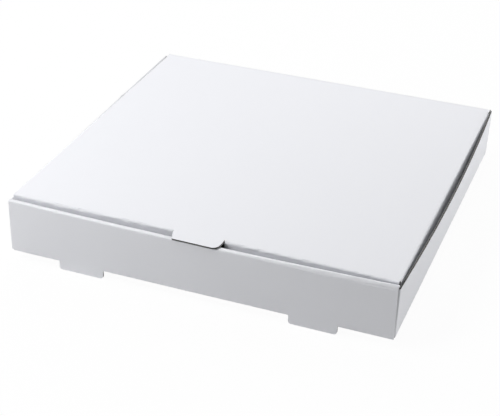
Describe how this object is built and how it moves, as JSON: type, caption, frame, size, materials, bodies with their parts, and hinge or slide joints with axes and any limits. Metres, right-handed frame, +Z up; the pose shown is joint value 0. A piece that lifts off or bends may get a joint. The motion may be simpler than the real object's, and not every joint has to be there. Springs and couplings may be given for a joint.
{
  "type": "pizza box",
  "caption": "Shallow square takeaway box folded from one sheet of white corrugated board, with a hinged lid, pull tab, rolled front wall and folded-down feet.",
  "frame": {"origin": "middle of the underside of the base", "axes": "+Z up, -Y towards the front with the pull tab, +X to the right seen from the front"},
  "size_m": [0.3163, 0.315, 0.0542],
  "materials": {
    "cardboard": "matt white coated board"
  },
  "bodies": {
    "tray": {"tray": "cardboard"},
    "lid": {"lid": "cardboard"}
  },
  "joints": [
    {"name": "lid_hinge", "type": "hinge", "parent": "tray", "child": "lid", "pos_m": [0, 0.15425, 0.0416], "axis": [-1, 0, 0], "range_deg": [0, 180]}
  ]
}
